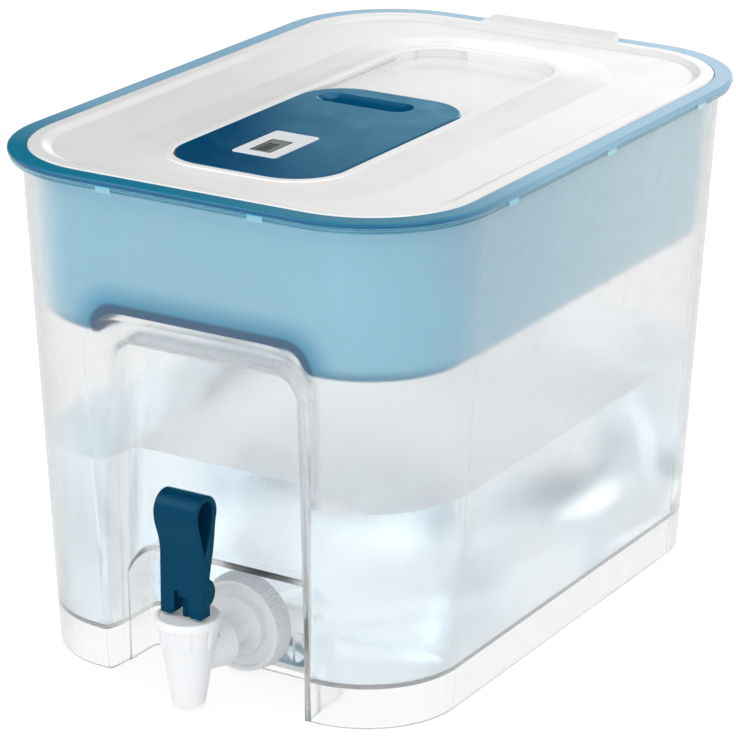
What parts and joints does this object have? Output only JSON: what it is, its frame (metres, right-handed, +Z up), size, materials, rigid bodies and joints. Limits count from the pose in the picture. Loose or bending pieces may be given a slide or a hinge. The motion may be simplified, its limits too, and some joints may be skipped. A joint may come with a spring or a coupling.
{
  "type": "gravity water filter",
  "caption": "Clear water tank with a blue funnel, filter cartridge, lid with a sliding refill cover, and a self-closing lever tap in a niche at the front.",
  "frame": {"origin": "on the table, under the middle of the whole assembly's box, tap included", "axes": "+Z up; -Y is the front, where the tap is; +X is to the right seen from the front"},
  "size_m": [0.2584, 0.3792, 0.262],
  "materials": {
    "clear_plastic": "clear, polished, colourless",
    "blue_clear_plastic": "translucent blue, polished",
    "white_plastic": "white, satin",
    "dark_blue_plastic": "dark blue, satin",
    "display_white": "white, fine satin",
    "display_glass": "dark grey-green window",
    "circuit_board": "green board",
    "cell_steel": "brushed",
    "spring_steel": "drawn wire",
    "cartridge_white": "white, moulded",
    "screen_mesh": "fine woven mesh",
    "filter_bed": "dark granules",
    "tap_white": "white, satin",
    "silicone": "grey-white silicone",
    "lever_blue": "dark petrol blue, satin"
  },
  "bodies": {
    "root": {"tank": "clear_plastic", "tap_body": "tap_white", "tap_bonnet": "tap_white", "tap_spring": "spring_steel", "flange_nut": "tap_white", "outer_washer": "silicone", "inner_washer": "silicone", "lock_nut": "tap_white"},
    "funnel": {"funnel": "blue_clear_plastic"},
    "cartridge": {"cartridge_cup": "cartridge_white", "cartridge_cap": "cartridge_white", "cartridge_top_screen": "screen_mesh", "cartridge_bottom_screen": "screen_mesh", "cartridge_media": "filter_bed"},
    "lid": {"lid": "white_plastic"},
    "cover": {"slide_cover": "dark_blue_plastic", "display_case": "display_white", "display_window": "display_glass", "display_board": "circuit_board", "coin_cell": "cell_steel"},
    "button": {"reset_button": "display_white"},
    "stem": {"tap_stem": "lever_blue", "seat_cup": "silicone"},
    "lever": {"tap_lever": "lever_blue", "lever_pin": "lever_blue"}
  },
  "joints": [
    {"name": "funnel_lift", "type": "slide", "parent": "root", "child": "funnel", "axis": [0, 0, 1], "range_m": [0, 0.14]},
    {"name": "lid_lift", "type": "slide", "parent": "funnel", "child": "lid", "axis": [0, 0, 1], "range_m": [0, 0.04]},
    {"name": "cartridge_lift", "type": "slide", "parent": "funnel", "child": "cartridge", "axis": [0, 0, 1], "range_m": [0, 0.03]},
    {"name": "cover_slide", "type": "slide", "parent": "lid", "child": "cover", "axis": [0, 1, 0], "range_m": [0, 0.096]},
    {"name": "reset_press", "type": "slide", "parent": "cover", "child": "button", "axis": [0, 0, -1], "range_m": [0, 0.0004], "stiffness_N_per_m": 800},
    {"name": "stem_lift", "type": "slide", "parent": "root", "child": "stem", "axis": [0, 0, 1], "range_m": [0, 0.0025], "deforming": ["tap_spring"]},
    {"name": "lever_tilt", "type": "hinge", "parent": "stem", "child": "lever", "pos_m": [0, -0.17335, 0.0605], "axis": [1, 0, 0], "range_deg": [0, 35], "stiffness_Nm_per_rad": 0.3, "springref_deg": -5.73}
  ],
  "couplings": [
    {"joint": "stem_lift", "follows": "lever_tilt", "m_per_rad": 0.00409}
  ]
}
